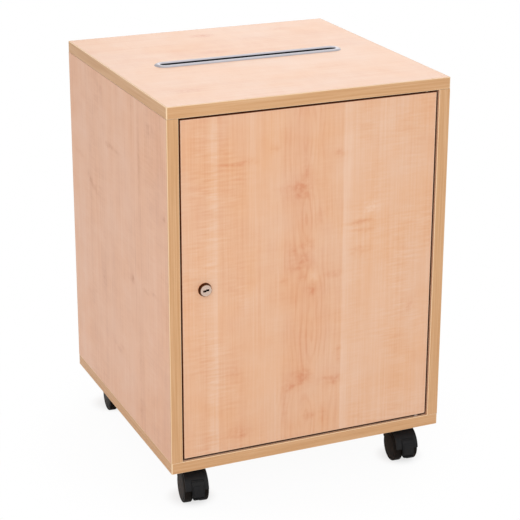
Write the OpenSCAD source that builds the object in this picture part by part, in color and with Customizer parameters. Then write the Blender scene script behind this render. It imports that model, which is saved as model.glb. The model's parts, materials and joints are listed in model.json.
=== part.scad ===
// Lockable collection cabinet for confidential waste paper, on four castors.
// Millimetres. +X is right, +Y is the back, +Z is up. The origin is on the floor,
// under the middle of the cabinet.

/* [Cabinet] */
// Width over the two side panels
body_w = 450; // [430:5:520]
// Depth from the front edging to the back edging
body_d = 450; // [430:5:520]
// Height of the cabinet above its castors
body_h = 566; // [520:2:680]
// Thickness of every board
board = 18; // [17:0.5:20]
// Thickness of the edging strip
edging = 2; // [1:0.25:2.5]
// Rounding of the edging's long arrises
arris = 1; // [0.6:0.1:1.4]
// How far the back panel is set in
back_inset = 1; // [0:0.5:4]

/* [Door] */
// Gap round the door
door_gap = 2.5; // [2:0.1:3.5]
// How far the door's face is set back
door_setback = 3.5; // [2.5:0.5:5]

/* [Paper slot] */
// Length of the metal trim
trim_l = 312; // [260:2:330]
// Width of the metal trim
trim_w = 32; // [28:1:38]
// Width of the slot's mouth
slot_w = 12; // [8:1:15]
// Height of the trim's rounded lip
trim_rise = 2.6; // [1.6:0.1:3.6]
// Wall of the collar that lines the slot
collar_wall = 1.5; // [1:0.1:2]
// Distance of the slot behind the middle of the top
slot_y = 8; // [-20:1:30]

/* [Lock] */
// Distance of the lock from the door's free edge
lock_inset = 36; // [34:0.5:40]
// Height of the lock above the middle of the door
lock_rise = 4; // [-40:1:40]
// Diameter of the bezel against the door
bezel_d = 21; // [19:0.5:24]
// How far the bezel stands off the door
bezel_rise = 6; // [4:0.5:7]
// Diameter of the threaded barrel
barrel_d = 16; // [15:0.5:17]
// Diameter of the turning plug
plug_d = 12; // [11:0.5:13]
// Space between the locked cam's tip and the strike
cam_gap = 3.5; // [2.5:0.5:6]

/* [Castors] */
// Height of a castor above the top of its wheels
castor_rise = 14; // [13:0.5:20]
// Diameter of a wheel
wheel_d = 50; // [46:1:50]
// Width of one wheel of a pair
wheel_w = 13; // [12:0.5:16]
// Space between the two wheels of a pair
wheel_gap = 12; // [11:0.5:14]
// Distance of the axle from the swivel axis
castor_trail = 18; // [16:0.5:20]
// Distance of the swivel axis from the cabinet's sides
castor_inset = 47; // [46:1:60]
// Side of the square fixing plate
plate_side = 42; // [40:1:46]
// Turn of the front left castor as it stands
turn_front_left = -7; // [-180:1:180]
// Turn of the front right castor as it stands
turn_front_right = -5; // [-180:1:180]
// Turn of the back left castor as it stands
turn_back_left = -4; // [-180:1:180]
// Turn of the back right castor as it stands
turn_back_right = -4; // [-180:1:180]

/* [Sack] */
// Space between the sack and each side
sack_side_gap = 19; // [18:1:26]
// Space between the door and the sack
sack_front_gap = 65.5; // [60:0.5:90]
// Space between the sack and the back
sack_back_gap = 24; // [18:1:40]
// Thickness of the sack's cloth as modelled
sack_wall = 2; // [1.5:0.25:2.5]

/* [Hidden] */

$fn = 48;
over = 1;              // how far a cut runs past the face it opens
snug = 0.05;           // radial clearance of a turning fit
fit = 0.1;             // radial clearance of a fixed fit

// Heights and faces of the carcass
castor_h = wheel_d + castor_rise;
base_z0 = castor_h;
base_z1 = base_z0 + board;
top_z1 = castor_h + body_h;
top_z0 = top_z1 - board;
side_h = top_z0 - base_z1;
inner_x = body_w / 2 - board;
front_y = -body_d / 2;
back_face_y = body_d / 2 - back_inset - board;

// Door leaf
leaf_w = 2 * (inner_x - door_gap);
leaf_h = side_h - 2 * door_gap;
leaf_x = leaf_w / 2;
leaf_y0 = front_y + door_setback;
leaf_y1 = leaf_y0 + board;
leaf_z0 = base_z1 + door_gap;
leaf_z1 = top_z0 - door_gap;
leaf_mid_z = (leaf_z0 + leaf_z1) / 2;

// Pivots in the door's bottom and top edges. The front corner of the hinge edge swings on
// sqrt(in^2 + back^2), which has to stay under in + door_gap.
pivot_in = 14;
pivot_back = 6.5;
pivot_x = leaf_x - pivot_in;
pivot_y = leaf_y0 + pivot_back;
pivot_r = 2.5;
pivot_hold = 12;       // pin length held in the base
pivot_reach = 10;      // pin length that enters the lower bush
collar_r = 5.2;
bush_r = 5;
bush_l = 14;
sleeve_l = 45;
pin_up_l = 30;         // upper pin below the door's top edge
pin_up_reach = 7;      // upper pin inside the top panel
pin_travel = 10;
thumb_drop = 22;       // thumb screw below the door's top edge
thumb_r = 1.5;
thumb_head_r = 4.5;
thumb_head_t = 4;

// Knock-down fittings
fitting_y = 150;       // fore-and-aft place of the cam fittings
fitting_depth = 34;    // cam centre to the end of the side panel
cam_disc_r = 7.5;
cam_disc_t = 13;
cam_cross = [4, 9, 1.4];   // driver slot: twice its depth, its length, its width
bolt_r = 3;
bolt_thread_r = 2.5;
bolt_thread_l = 11;
dowel_r = 4;
dowel_l = 30;
dowel_in_face = 12;    // dowel length that enters a board's face
dowel_step = 36;       // dowel beside its cam fitting

// Lock
lock_x = -leaf_x + lock_inset;
lock_z = leaf_mid_z + lock_rise;
barrel_past = 9;       // barrel behind the door's inner face
barrel_l = board + barrel_past;
nut_t = 4.5;
nut_r = 12.5;
tail_side = 7;
cam_t = 2.5;
cam_w = 14;
key_l = 9;
key_w = 3.2;
key_step = 0.5;        // each half of the keyway from its middle line
key_depth = 14;
lock_screw_r = 1.75;
lock_screw_l = 9;
lock_screw_head_r = 5.4;
lock_screw_head_t = 2.2;

// Strike
strike_t = 2;
strike_gap = 1;
strike_leg = 14;
strike_half = 22;
strike_depth = 32;
strike_screw_back = 12;   // screws in front of the bracket's back edge
strike_screw_pitch = 26;
cam_reach = lock_inset + door_gap - strike_t - cam_gap;

// Stops that the closed door rests on
stop_w = 12;
stop_t = 9;
stop_h = 22;
stop_gap = 0.4;        // between the closed door and a stop
stop_inset = 60;       // stop's middle from the end of the door
stop_peg_r = 2.5;
stop_peg_l = 9;

// Castors
plate_t = 2;
plate_hole_pitch = 30;
king_r = 4;
king_l = 12;
race_r = 13;
race_t = 3.5;
boss_r = 10.5;
axle_r = 3;
axle_cover = 3;        // wheel face outside the axle's end
axle_l = wheel_gap + 2 * (wheel_w - axle_cover);
hood_gap = 1.1;        // between tyre and hood
hood_t = 2.4;
web_t = 6;
hub_r = 7;
hood_w = wheel_gap + 2 * wheel_w - 2;
wheel_r = wheel_d / 2;
hood_ri = wheel_r + hood_gap;
hood_ro = hood_ri + hood_t;
hood_edge_z = wheel_r + 4;
screw_r = 2;
screw_head_r = 3.8;
screw_l = 13;
tyre_round = 2;        // rounding of the tread's inner corner

// Brake pedal, as angles about the axle measured from straight ahead
pedal_x0 = -8;
pedal_x1 = 11;
pedal_low = -27;
pedal_high = 33;
pedal_recess_low = -30;
pedal_toe = 9;         // the toe pad's share of the pedal, from its lower end
pedal_rib_from = 14;   // where the pad above it starts and stops
pedal_rib_stop = 12;
pedal_corner = 4.5;    // rounding of the toe's corners
pedal_t = 3;
pedal_pivot_r = (hood_ri + hood_ro) / 2;
pedal_pivot_a = 38;
pedal_eye_r = 1.4;
pedal_pin_r = 0.8;
pedal_play = 0.4;

// Sack and its hooks
sack_rim_gap = 16;     // sack's rim below the top
hook_drop = 13;        // hooks below the sack's rim
hook_inset = 50;       // hooks from the sack's front and back
sack_w = 2 * (inner_x - sack_side_gap);
sack_d = back_face_y - sack_back_gap - leaf_y1 - sack_front_gap;
sack_y = back_face_y - sack_back_gap - sack_d / 2;
sack_top = top_z0 - sack_rim_gap;
sack_base = base_z1 + 3;
sack_corner = 28;
hook_r = 2;
hook_y = sack_d / 2 - hook_inset;
hook_z = sack_top - hook_drop;
hook_out = 28;
hook_bend = 5;
hook_thread = 12;
hook_up = 7;           // upright tip of a hook
hook_flange_r = 5;
hook_flange_t = 1.2;
eyelet_r = 4.2;
eyelet_rim_r = 8;
eyelet_rim_t = 0.7;
eyelet_wall = 0.7;
eyelet_z = hook_z - (eyelet_r - hook_r - 0.3);

castor_turn = [turn_front_left, turn_front_right, turn_back_left, turn_back_right];

maple = "#e4b690";
honey = "#d9a878";
steel = "#b9bcc2";
zinc = "#c8c9c6";
black = "#2b2b2d";
wood = "#d8bf95";
cloth = "#e9e6dc";
brass = "#c9a85c";

// Section of the edging: board thickness along Y, outwards along X, outer arrises rounded
module edging_section() {
    square([edging - arris, board]);
    translate([0, arris]) square([edging, board - 2 * arris]);
    for (y = [arris, board - arris]) translate([edging - arris, y]) circle(arris);
}

// Edging wrapped round a w by d board that lies in the XY plane
module edging_ring(w, d) {
    for (a = [0:90:270]) {
        across = a % 180 == 0 ? w : d;
        along = a % 180 == 0 ? d : w;
        rotate([0, 0, a]) translate([across / 2 - edging, along / 2 - edging, 0]) {
            rotate([90, 0, 0]) linear_extrude(along - 2 * edging) edging_section();
            rotate_extrude(angle = 90) edging_section();
        }
    }
}

// A rectangle with round corners, centred
module round_rect(w, d, r) {
    square([w - 2 * r, d], center = true);
    square([w, d - 2 * r], center = true);
    for (x = [-1, 1], y = [-1, 1])
        translate([x * (w / 2 - r), y * (d / 2 - r)]) circle(r);
}

// A slot outline with round ends, centred, of length l and width w
module stadium(l, w) {
    square([l - w, w], center = true);
    for (x = [-1, 1])
        translate([x * (l - w) / 2, 0]) circle(w / 2);
}

module rod(r, l) {
    cylinder(r = r, h = l);
}

// Places children at the four cam fittings at one end of the side panels:
// +Z of each child runs from the joint into the side panel
module at_fittings(dy = 0) {
    for (s = [-1, 1], f = [-1, 1]) {
        translate([s * (inner_x + board / 2), f * (fitting_y - dy), top_z0]) mirror([0, 0, 1]) children();
        translate([s * (inner_x + board / 2), f * (fitting_y - dy), base_z1]) children();
    }
}

module cam_holes() {
    at_fittings() {
        translate([0, 0, -bolt_thread_l]) rod(bolt_thread_r, bolt_thread_l + over);
        rod(bolt_r + fit, fitting_depth);
    }
    for (s = [-1, 1], f = [-1, 1], z = [top_z0 - fitting_depth, base_z1 + fitting_depth])
        translate([s * (inner_x - over), f * fitting_y, z]) rotate([0, s * 90, 0])
            rod(cam_disc_r, cam_disc_t + over);
}

module dowel_pins(r, extra) {
    at_fittings(dowel_step)
        translate([0, 0, -dowel_in_face - extra]) rod(r, dowel_l + 2 * extra);
    for (s = [-1, 1], z = [base_z1 + side_h / 4, top_z0 - side_h / 4])
        translate([s * (inner_x + dowel_in_face + extra), back_face_y + board / 2, z])
            rotate([0, -s * 90, 0]) rod(r, dowel_l + 2 * extra);
}

module cam_fittings() {
    color(zinc) {
        for (s = [-1, 1], f = [-1, 1], z = [top_z0 - fitting_depth, base_z1 + fitting_depth])
            difference() {
                translate([s * inner_x, f * fitting_y, z]) rotate([0, s * 90, 0])
                    rod(cam_disc_r - fit, cam_disc_t - fit);
                // driver cross in the face, and the way in for the bolt
                for (a = [0, 90])
                    translate([s * inner_x, f * fitting_y, z]) rotate([a + 45, 0, 0])
                        cube(cam_cross, center = true);
                at_fittings() rod(bolt_r + fit, fitting_depth);
            }
        at_fittings() {
            translate([0, 0, -bolt_thread_l + fit]) rod(bolt_thread_r - fit, bolt_thread_l);
            rod(bolt_r, fitting_depth - fit);
        }
    }
}

module dowels() {
    color(wood) dowel_pins(dowel_r - fit, 0);
}

// A full-outline board whose four edges carry edging, with its underside at z
module edged_board(z) {
    translate([-body_w / 2 + edging, front_y + edging, z])
        cube([body_w - 2 * edging, body_d - 2 * edging, board]);
}

module top_panel() {
    color(maple) difference() {
        edged_board(top_z0);
        translate([0, slot_y, top_z0 - over])
            linear_extrude(board + 2 * over) stadium(slot_l + 2 * (collar_wall + fit), slot_w + 2 * (collar_wall + fit));
        cam_holes();
        dowel_pins(dowel_r, fit);
        translate([pivot_x, pivot_y, top_z0 - over]) rod(bush_r + fit, pin_up_reach + 3 + over + fit);
    }
}

module top_edging() {
    color(honey) translate([0, 0, top_z0]) edging_ring(body_w, body_d);
}

module base_panel() {
    color(maple) difference() {
        edged_board(base_z0);
        cam_holes();
        dowel_pins(dowel_r, fit);
        for (i = [0:3]) at_castor(i, false) plate_holes()
            translate([0, 0, base_z0 - over]) rod(screw_r + fit, screw_l + over + fit);
        translate([pivot_x, pivot_y, base_z1 - pivot_hold - fit]) rod(pivot_r + fit, pivot_hold + over + fit);
    }
}

module base_edging() {
    color(honey) translate([0, 0, base_z0]) edging_ring(body_w, body_d);
}

// Board between top and base: its front and back edges carry edging
module side_panel(s) {
    color(maple) difference() {
        translate([s > 0 ? inner_x : -inner_x - board, front_y + edging, base_z1])
            cube([board, body_d - 2 * edging, side_h]);
        cam_holes();
        dowel_pins(dowel_r, fit);
        if (s < 0) strike_screws(screw_r, fit);
        if (s < 0) at_stops() translate([-stop_peg_l - fit, stop_t / 2, 0]) rotate([0, 90, 0])
            rod(stop_peg_r + fit, stop_peg_l + over + fit);
        at_hooks() translate([-hook_thread - fit, 0, hook_z]) rotate([0, 90, 0])
            rod(hook_r + fit, hook_thread + over + fit);
    }
}

module side_edging(s) {
    x = s > 0 ? inner_x : -inner_x - board;
    color(honey) for (f = [0, 1]) mirror([0, f, 0])
        translate([x + board, body_d / 2 - edging, base_z1]) linear_extrude(side_h)
            rotate([0, 0, 90]) edging_section();
}

module back_panel() {
    color(maple) difference() {
        translate([-inner_x, back_face_y, base_z1]) cube([2 * inner_x, board, side_h]);
        dowel_pins(dowel_r, fit);
    }
}

slot_l = trim_l - (trim_w - slot_w);

// Half of the trim's section: a domed lip on the top and a collar down through it
module trim_section() {
    lip = (trim_w - slot_w) / 2;
    dome_r = (pow(lip / 2, 2) + pow(trim_rise, 2)) / (2 * trim_rise);
    intersection() {
        translate([slot_w / 2 + lip / 2, trim_rise - dome_r]) circle(dome_r, $fn = 96);
        translate([slot_w / 2, 0]) square([lip, trim_rise + over]);
    }
    translate([slot_w / 2, -board - 1]) square([collar_wall, board + 1 + 0.3]);
}

module slot_trim() {
    run = slot_l - slot_w;
    color(steel) translate([0, slot_y, top_z1]) {
        for (a = [0, 180]) rotate([0, 0, a]) {
            translate([run / 2, 0, 0]) rotate([0, 0, -90]) rotate_extrude(angle = 180) trim_section();
            translate([run / 2, 0, 0]) rotate([90, 0, -90]) linear_extrude(run) mirror([1, 0]) trim_section();
        }
    }
}

module door_panel() {
    color(maple) difference() {
        translate([-leaf_x + edging, leaf_y0, leaf_z0 + edging])
            cube([leaf_w - 2 * edging, board, leaf_h - 2 * edging]);
        at_lock() translate([0, 0, -board - over]) rod(barrel_d / 2 + fit, board + 2 * over);
        pivot_holes();
        thumb_slot(thumb_r + 0.2, board);
    }
}

module door_edging() {
    color(honey) difference() {
        translate([0, leaf_y1, leaf_mid_z]) rotate([90, 0, 0]) edging_ring(leaf_w, leaf_h);
        pivot_holes();
    }
}

// Holes for the bush and the sleeve in the door's two ends
module pivot_holes() {
    translate([pivot_x, pivot_y, leaf_z0 - over]) rod(bush_r + fit, bush_l + over + fit);
    translate([pivot_x, pivot_y, leaf_z1 - sleeve_l - fit]) rod(bush_r + fit, sleeve_l + over + fit);
}

// Slot that the thumb screw travels in, open through the door's inner face
module thumb_slot(r, reach) {
    for (z = [0, pin_travel])
        translate([pivot_x, pivot_y, leaf_z1 - thumb_drop - z]) rotate([-90, 0, 0]) rod(r, reach);
    translate([pivot_x - r, pivot_y, leaf_z1 - thumb_drop - pin_travel]) cube([2 * r, reach, pin_travel]);
}

// Fixed pin with a collar that carries the door's weight
module pivot_pin_lower() {
    color(steel) translate([pivot_x, pivot_y, base_z1]) {
        translate([0, 0, -pivot_hold]) rod(pivot_r, pivot_hold + door_gap + pivot_reach);
        rod(collar_r, door_gap - snug);
    }
}

module pivot_bush_lower() {
    color(brass) translate([pivot_x, pivot_y, leaf_z0]) difference() {
        rod(bush_r, bush_l);
        translate([0, 0, -over]) rod(pivot_r + snug, pivot_reach + 0.5 + over);
    }
}

module pivot_bush_upper() {
    color(brass) translate([pivot_x, pivot_y, top_z0]) difference() {
        rod(bush_r, pin_up_reach + 3);
        translate([0, 0, -over]) rod(pivot_r + snug, pin_up_reach + 0.5 + over);
    }
}

// Sleeve in the door's top edge; the upper pin drops into it to free the door
module pivot_sleeve() {
    color(brass) difference() {
        translate([pivot_x, pivot_y, leaf_z1 - sleeve_l]) rod(bush_r, sleeve_l);
        translate([pivot_x, pivot_y, leaf_z1 - sleeve_l + 2]) rod(pivot_r + snug, sleeve_l);
        thumb_slot(thumb_r + 0.2, bush_r + over);
    }
}

module pivot_pin_upper() {
    color(steel) difference() {
        translate([pivot_x, pivot_y, leaf_z1 - pin_up_l]) rod(pivot_r, pin_up_l + door_gap + pin_up_reach);
        translate([pivot_x, pivot_y - 1, leaf_z1 - thumb_drop]) rotate([-90, 0, 0]) rod(thumb_r + fit, 2 * pivot_r);
    }
}

module pivot_thumb_screw() {
    color(steel) translate([pivot_x, 0, leaf_z1 - thumb_drop]) rotate([-90, 0, 0]) {
        translate([0, 0, pivot_y - 1 + fit]) rod(thumb_r, leaf_y1 - pivot_y + 2);
        translate([0, 0, leaf_y1 + 0.4]) difference() {
            rod(thumb_head_r, thumb_head_t);
            for (k = [0:11]) rotate([0, 0, k * 30]) translate([thumb_head_r + 0.35, 0, -over])
                rod(0.7, thumb_head_t + 2 * over, $fn = 16);
        }
    }
}

// Lock: +Z of the children points out of the door
module at_lock() {
    translate([lock_x, leaf_y0, lock_z]) rotate([90, 0, 0]) children();
}

module lock_barrel() {
    r = bezel_d / 2;
    color(steel) at_lock() rotate_extrude() polygon([
        [plug_d / 2 + snug, -barrel_l], [barrel_d / 2, -barrel_l], [barrel_d / 2, 0], [r, 0],
        [r, 0.8], [r - 1.5, bezel_rise - 0.7], [r - 2.2, bezel_rise], [plug_d / 2 + snug, bezel_rise],
    ]);
}

module lock_nut() {
    color(zinc) at_lock() translate([0, 0, -board - nut_t]) difference() {
        cylinder(r = nut_r, h = nut_t, $fn = 6);
        translate([0, 0, -over]) rod(barrel_d / 2 + snug, nut_t + 2 * over);
    }
}

// Keyway: two flats side by side, the right one a step higher
module keyway() {
    for (s = [-1, 1])
        translate([s * key_l / 4, s * key_step]) square([key_l / 2 + 0.4, key_w], center = true);
}

module lock_plug() {
    color(steel) at_lock() difference() {
        union() {
            translate([0, 0, -barrel_l]) rod(plug_d / 2, barrel_l + bezel_rise);
            translate([-tail_side / 2, -tail_side / 2, -barrel_l - cam_t - 0.3])
                cube([tail_side, tail_side, cam_t + 0.3 + over]);
        }
        translate([0, 0, bezel_rise - key_depth]) linear_extrude(key_depth + over) keyway();
        translate([0, 0, -barrel_l - cam_t - 0.3 - over]) rod(lock_screw_r + fit, lock_screw_l + 2 * over);
    }
}

module lock_cam() {
    color(zinc) at_lock() translate([0, 0, -barrel_l - cam_t - 0.3]) difference() {
        linear_extrude(cam_t) {
            circle(cam_w / 2 + 1);
            translate([-cam_w / 2, -cam_reach + 4]) square([cam_w, cam_reach - 4]);
            translate([-cam_w / 2 + 4, -cam_reach]) square([cam_w - 8, 5]);
            for (x = [-1, 1]) translate([x * (cam_w / 2 - 4), -cam_reach + 4]) circle(4);
        }
        translate([-tail_side / 2 - fit, -tail_side / 2 - fit, -over])
            cube([tail_side + 2 * fit, tail_side + 2 * fit, cam_t + 2 * over]);
    }
}

module lock_cam_screw() {
    color(steel) at_lock() translate([0, 0, -barrel_l - cam_t - 0.3]) {
        translate([0, 0, -lock_screw_head_t]) difference() {
            rod(lock_screw_head_r, lock_screw_head_t);
            translate([0, 0, -over]) linear_extrude(1.2 + over) driver_cross();
        }
        rod(lock_screw_r, lock_screw_l);
    }
}

module driver_cross(l = 4, w = 1) {
    square([l, w], center = true);
    square([w, l], center = true);
}

// Strike for the lock's cam, on the left side panel
strike_y = leaf_y0 + barrel_l + 0.3 - strike_gap - strike_t;

module strike_bracket() {
    color(zinc) difference() {
        translate([-inner_x, strike_y, lock_z - strike_half]) {
            cube([strike_t, strike_depth, 2 * strike_half]);
            cube([strike_leg, strike_t, 2 * strike_half]);
        }
        strike_screws(screw_r, fit);
    }
}

// Countersunk screws that run through the bracket into the side panel
module strike_screws(r, extra) {
    for (z = [-1, 1])
        translate([-inner_x + strike_t, strike_y + strike_depth - strike_screw_back, lock_z + z * strike_screw_pitch / 2])
            rotate([0, -90, 0]) {
            cylinder(r1 = r + strike_t + extra, r2 = r + extra, h = strike_t);
            rod(r + extra, screw_l + extra);
        }
}

// Moulded stops on the left side panel, one near each end of the door
module at_stops() {
    for (z = [leaf_z0 + stop_inset, leaf_z1 - stop_inset])
        translate([-inner_x, leaf_y1 + stop_gap, z]) children();
}

module door_stops() {
    color(black) at_stops() {
        intersection() {
            translate([0, 0, -stop_h / 2]) cube([stop_w, stop_t, stop_h]);
            // the face that meets the door is part of a wide cylinder
            translate([-over, stop_h, 0]) rotate([0, 90, 0]) cylinder(r = stop_h, h = stop_w + 2 * over, $fn = 96);
        }
        translate([-stop_peg_l, stop_t / 2, 0]) rotate([0, 90, 0]) rod(stop_peg_r, stop_peg_l + over);
    }
}

// Castors: the children stand on the floor, trailing towards -Y
module at_castor(i, turned = true) {
    x = (i % 2 == 0 ? -1 : 1) * (body_w / 2 - castor_inset);
    y = (i < 2 ? -1 : 1) * (body_d / 2 - castor_inset);
    translate([x, y, 0]) rotate([0, 0, turned ? castor_turn[i] : 0]) children();
}

module at_axle() {
    translate([0, -castor_trail, wheel_r]) rotate([0, 90, 0]) children();
}

module plate_holes() {
    for (x = [-1, 1], y = [-1, 1])
        translate([x * plate_hole_pitch / 2, y * plate_hole_pitch / 2, 0]) children();
}

// Fixing plate with its pressed race and riveted kingpin; the plate doesn't turn with the castor
module castor_plate(i) {
    color(zinc) at_castor(i, false) {
        difference() {
            translate([0, 0, castor_h - plate_t]) linear_extrude(plate_t) round_rect(plate_side, plate_side, 5);
            plate_holes() translate([0, 0, castor_h - plate_t - over]) rod(screw_r + 0.2, plate_t + 2 * over);
        }
        translate([0, 0, castor_h - plate_t - race_t]) rod(race_r, race_t);
        translate([0, 0, castor_h - plate_t - race_t - king_l]) rod(king_r, king_l);
    }
}

module castor_screws() {
    color(steel) for (i = [0:3]) at_castor(i, false) plate_holes() {
        translate([0, 0, castor_h - plate_t - 1.6]) difference() {
            rod(screw_head_r, 1.6);
            translate([0, 0, -over]) linear_extrude(0.9 + over) driver_cross();
        }
        translate([0, 0, castor_h - plate_t]) rod(screw_r, screw_l + plate_t);
    }
}

// Sector of a ring about the axle between two angles from straight ahead, between x0 and x1
module ring_sector(ri, ro, a0, a1, x0, x1) {
    translate([x0, -castor_trail, wheel_r]) rotate([90, 0, 90]) linear_extrude(x1 - x0) mirror([1, 0])
        difference() {
            intersection() {
                circle(ro, $fn = 96);
                polygon([[0, 0], for (k = [0:4]) let (a = a0 + (a1 - a0) * k / 4) 2 * ro * [cos(a), sin(a)]]);
            }
            circle(ri, $fn = 96);
        }
}

module pedal_pivot() {
    translate([0, -castor_trail - pedal_pivot_r * cos(pedal_pivot_a), wheel_r + pedal_pivot_r * sin(pedal_pivot_a)])
        rotate([0, 90, 0]) children();
}

module castor_hood(i) {
    braked = i < 2;
    color(black) at_castor(i) difference() {
        union() {
            intersection() {
                at_axle() cylinder(r = hood_ro, h = hood_w, center = true, $fn = 96);
                translate([-hood_w, -castor_trail - hood_ro - over, hood_edge_z]) cube([2 * hood_w, 2 * hood_ro + 2 * over, castor_h]);
            }
            at_axle() cylinder(r = hub_r, h = web_t, center = true);
            translate([0, 0, hood_edge_z + 8]) rod(boss_r, castor_h - plate_t - race_t - 0.3 - hood_edge_z - 8);
        }
        for (s = [-1, 1]) translate([s * (web_t + hood_w) / 2, 0, 0])
            at_axle() cylinder(r = hood_ri, h = hood_w, center = true, $fn = 96);
        translate([0, 0, castor_h - plate_t - race_t - king_l - 0.5]) rod(king_r + snug, king_l + 2);
        at_axle() cylinder(r = axle_r + 0.02, h = hood_w, center = true);
        if (braked) {
            ring_sector(hood_ri - over / 2, hood_ro + 4, pedal_recess_low, pedal_pivot_a,
                pedal_x0 - pedal_play, pedal_x1 + pedal_play);
            translate([pedal_x0 - pedal_play, 0, 0]) pedal_pivot()
                rod(pedal_eye_r + pedal_play, pedal_x1 - pedal_x0 + 2 * pedal_play);
            translate([pedal_x0 - 2, 0, 0]) pedal_pivot() rod(pedal_pin_r + snug, pedal_x1 - pedal_x0 + 4);
        }
    }
}

module axle(i) {
    color(steel) at_castor(i) at_axle() cylinder(r = axle_r, h = axle_l, center = true);
}

// One wheel; s is the side of the castor that it runs on. The tread's inner corner is a quarter round
module wheel(i, s) {
    x0 = web_t / 2 + 0.4;
    x1 = wheel_gap / 2;
    x2 = wheel_gap / 2 + wheel_w;
    rb = axle_r + snug;
    color(black) at_castor(i) at_axle() mirror([0, 0, s < 0 ? 1 : 0]) rotate_extrude($fn = 96) polygon([
        [rb, x0], [hub_r, x0], [hub_r, x2 - 4], [wheel_r - 4, x2 - 4], [wheel_r - 4, x1],
        for (a = [0:15:90]) [wheel_r - tyre_round * (1 - sin(a)), x1 + tyre_round * (1 - cos(a))],
        [wheel_r, x2 - 1.6], [wheel_r - 0.6, x2 - 0.5],
        [wheel_r - 1.8, x2], [wheel_r - 3.4, x2], [wheel_r - 4, x2 - 0.8], [wheel_r - 5, x2 - 0.8],
        [wheel_r - 5.6, x2 - 0.1], [8, x2 + 0.5], [0, x2 + 0.5], [0, axle_l / 2 + 0.4], [rb, axle_l / 2 + 0.4],
    ]);
}

// The pedal seen from the front, as a block: the toe's two corners are round
module pedal_outline() {
    z0 = wheel_r + (hood_ri + pedal_play) * sin(pedal_low);
    translate([(pedal_x0 + pedal_x1) / 2, 0, 0]) rotate([90, 0, 0]) linear_extrude(castor_trail + 2 * wheel_r)
        translate([0, z0 + castor_h / 2]) round_rect(pedal_x1 - pedal_x0, castor_h, pedal_corner);
}

// Pedal hung from its pin in the hood: a plate that follows the tyre, with a ribbed toe pad
module brake_pedal(i) {
    w = pedal_x1 - pedal_x0;
    r0 = hood_ri + pedal_play;
    r1 = r0 + pedal_t;
    color(black) at_castor(i) {
        intersection() {
            union() {
                ring_sector(r0, r1, pedal_low, pedal_high, pedal_x0, pedal_x1);
                ring_sector(r0 + 1, r1 + 1.4, pedal_low, pedal_low + pedal_toe, pedal_x0 + 1, pedal_x1 - 1);
                ring_sector(r0 + 1, r1 + 0.7, pedal_low + pedal_rib_from, pedal_high - pedal_rib_stop,
                    pedal_x0 + 2, pedal_x1 - 2);
            }
            pedal_outline();
        }
        translate([pedal_x0, 0, 0]) pedal_pivot() rod(pedal_eye_r, w);
        ring_sector(pedal_pivot_r - 1, pedal_pivot_r + 1, pedal_high - 2, pedal_pivot_a, pedal_x0, pedal_x1);
        translate([pedal_x0 - 1.8, 0, 0]) pedal_pivot() rod(pedal_pin_r, w + 3.6);
    }
}

// The sack hangs on four screw hooks
module at_hooks() {
    for (s = [-1, 1], f = [-1, 1])
        translate([s * inner_x, sack_y + f * hook_y, 0]) mirror([s > 0 ? 1 : 0, 0, 0]) children();
}

module sack_hooks() {
    color(zinc) at_hooks() translate([0, 0, hook_z]) {
        translate([-hook_thread, 0, 0]) rotate([0, 90, 0]) rod(hook_r, hook_thread + hook_out - hook_bend);
        rotate([0, 90, 0]) rod(hook_flange_r, hook_flange_t);
        translate([hook_out - hook_bend, 0, hook_bend]) rotate([90, 0, 0]) rotate([0, 0, -90])
            rotate_extrude(angle = 90) translate([hook_bend, 0]) circle(hook_r);
        translate([hook_out, 0, hook_bend]) rod(hook_r, hook_up);
        translate([hook_out, 0, hook_bend + hook_up]) sphere(hook_r);
    }
}

module sack() {
    color(cloth) difference() {
        translate([0, sack_y, sack_base]) linear_extrude(sack_top - sack_base) round_rect(sack_w, sack_d, sack_corner);
        translate([0, sack_y, sack_base + sack_wall]) linear_extrude(sack_top - sack_base)
            round_rect(sack_w - 2 * sack_wall, sack_d - 2 * sack_wall, sack_corner - sack_wall);
        at_hooks() translate([inner_x - sack_w / 2 - over, 0, eyelet_z]) rotate([0, 90, 0])
            rod(eyelet_r + eyelet_wall + fit, sack_wall + 2 * over);
    }
}

module sack_eyelets() {
    t = sack_wall / 2 + eyelet_rim_t;
    color(zinc) at_hooks() translate([inner_x - sack_w / 2 + sack_wall / 2, 0, eyelet_z]) rotate([0, 90, 0])
        rotate_extrude() {
            translate([eyelet_r, -t]) square([eyelet_wall, 2 * t]);
            for (s = [-1, 1]) translate([eyelet_r, s > 0 ? sack_wall / 2 : -t]) square([eyelet_rim_r - eyelet_r, eyelet_rim_t]);
        }
}

module fixing_screws() {
    color(steel) strike_screws(screw_r, 0);
}

top_panel();
top_edging();
base_panel();
base_edging();
side_panel(-1);  // side_panel_left
side_panel(1);  // side_panel_right
side_edging(-1);  // side_edging_left
side_edging(1);  // side_edging_right
back_panel();
cam_fittings();
dowels();
slot_trim();
door_panel();
door_edging();
pivot_pin_lower();
pivot_bush_lower();
pivot_bush_upper();
pivot_sleeve();
pivot_pin_upper();
pivot_thumb_screw();
lock_barrel();
lock_nut();
lock_plug();
lock_cam();
lock_cam_screw();
strike_bracket();
fixing_screws();
door_stops();
sack();
sack_eyelets();
sack_hooks();
castor_plate(0);  // castor_plate_front_left
castor_plate(1);  // castor_plate_front_right
castor_plate(2);  // castor_plate_back_left
castor_plate(3);  // castor_plate_back_right
castor_hood(0);  // castor_hood_front_left
castor_hood(1);  // castor_hood_front_right
castor_hood(2);  // castor_hood_back_left
castor_hood(3);  // castor_hood_back_right
axle(0);  // axle_front_left
axle(1);  // axle_front_right
axle(2);  // axle_back_left
axle(3);  // axle_back_right
wheel(0, -1);  // wheel_front_left_a
wheel(0, 1);  // wheel_front_left_b
wheel(1, -1);  // wheel_front_right_a
wheel(1, 1);  // wheel_front_right_b
wheel(2, -1);  // wheel_back_left_a
wheel(2, 1);  // wheel_back_left_b
wheel(3, -1);  // wheel_back_right_a
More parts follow.
